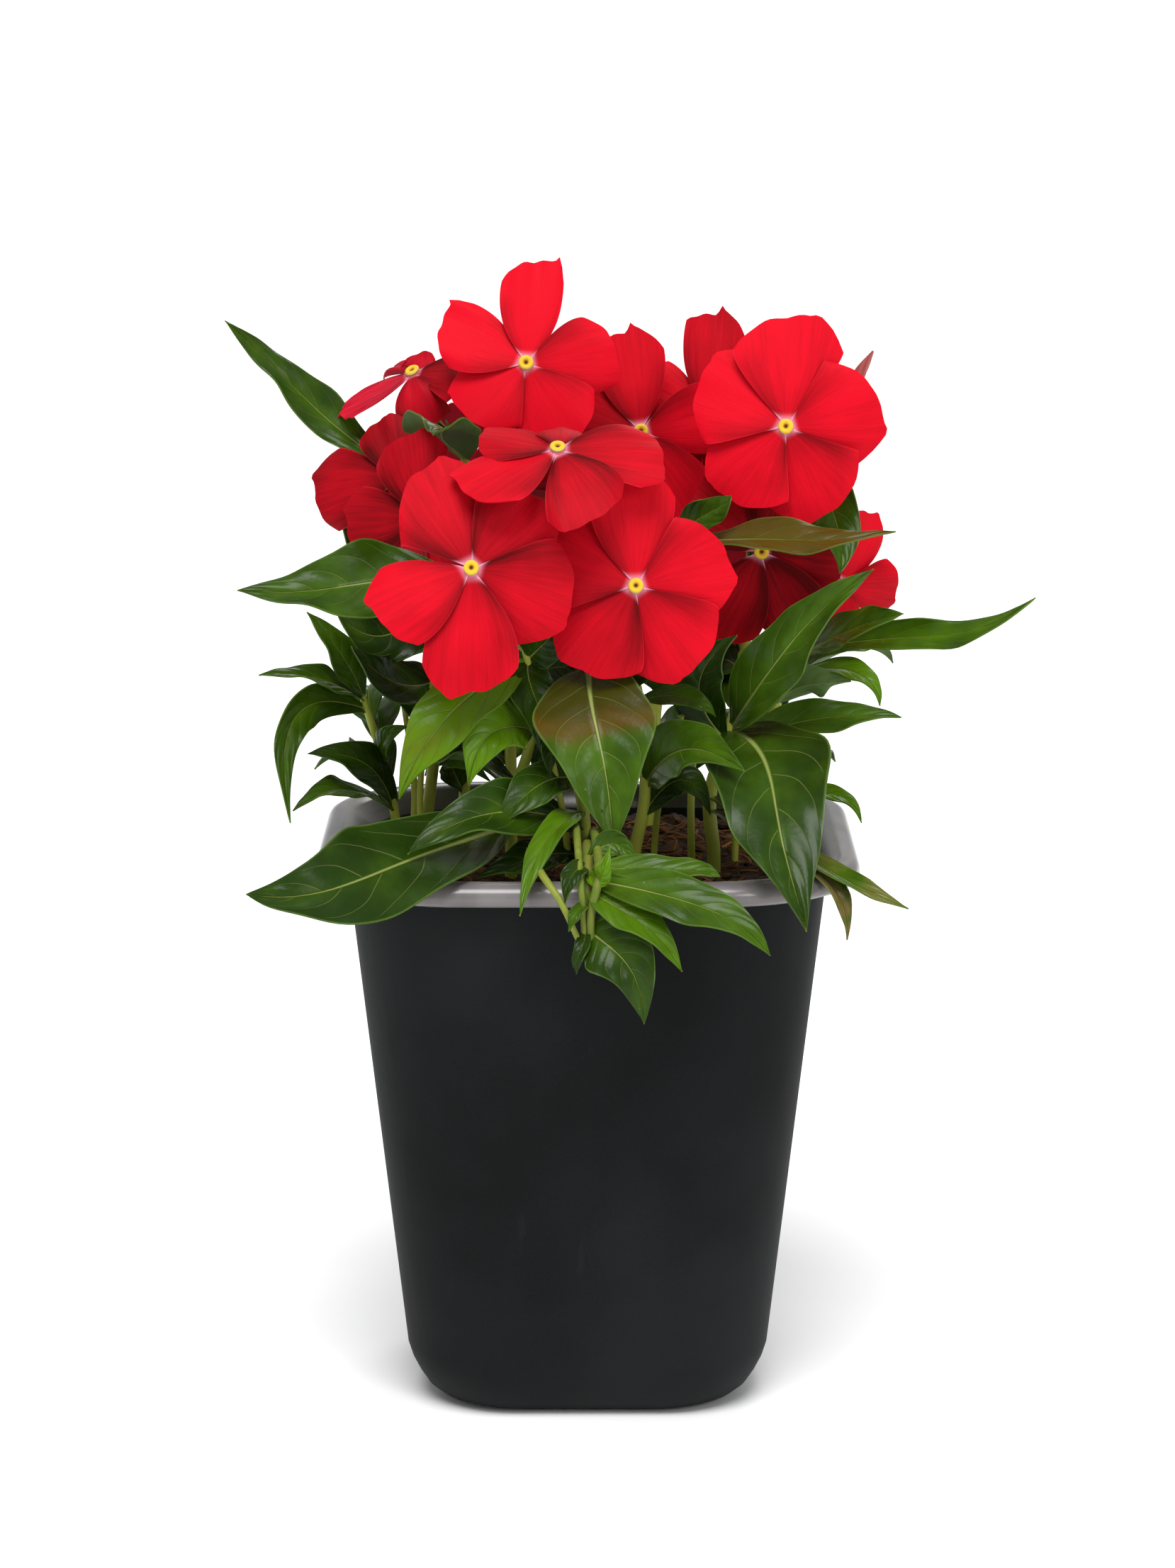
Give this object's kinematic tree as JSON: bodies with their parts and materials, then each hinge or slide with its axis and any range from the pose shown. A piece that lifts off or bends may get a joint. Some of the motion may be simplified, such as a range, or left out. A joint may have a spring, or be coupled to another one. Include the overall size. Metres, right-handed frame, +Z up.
{
  "type": "potted madagascar periwinkle",
  "caption": "Flowering Madagascar periwinkle with red yellow-eyed blooms and glossy leaves, in a tall tapered pot.",
  "frame": {"origin": "on the table under the middle of the pot", "axes": "+Z up through the pot, +X to the right, +Y to the back"},
  "size_m": [0.2258, 0.1876, 0.3172],
  "materials": {
    "pot": "satin near-black body with a paler grey rolled lip",
    "soil": "coarse bark and coir potting mix",
    "leaf": "satin green leaves with pale midribs, on pale green stems",
    "petal": "velvety bright red petals",
    "eye": "yellow ring round a dark pore",
    "bud": "pink-brown closed bud"
  },
  "bodies": {
    "root": {"back_left": "leaf", "back_right": "leaf", "bloom_01": "petal", "bloom_02": "petal", "bloom_03": "petal", "bloom_04": "petal", "bloom_05": "petal", "bloom_06": "petal", "bloom_07": "petal", "bloom_08": "petal", "bloom_09": "petal", "bloom_10": "petal", "bloom_11": "petal", "bloom_12": "petal", "bloom_13": "petal", "bloom_14": "petal", "bloom_15": "petal", "bloom_16": "petal", "bloom_17": "petal", "bloom_18": "petal", "bud_back": "bud", "bud_right": "bud", "centre": "leaf", "eye_01": "eye", "eye_02": "eye", "eye_03": "eye", "eye_04": "eye", "eye_05": "eye", "eye_06": "eye", "eye_07": "eye", "eye_08": "eye", "eye_09": "eye", "eye_10": "eye", "eye_11": "eye", "eye_12": "eye", "eye_13": "eye", "eye_14": "eye", "eye_15": "eye", "eye_16": "eye", "eye_17": "eye", "eye_18": "eye", "front_centre": "leaf", "front_left": "leaf", "left_a": "leaf", "left_b": "leaf", "left_outer": "leaf", "pot": "pot", "right": "leaf", "right_back": "leaf", "soil": "soil"}
  },
  "joints": []
}
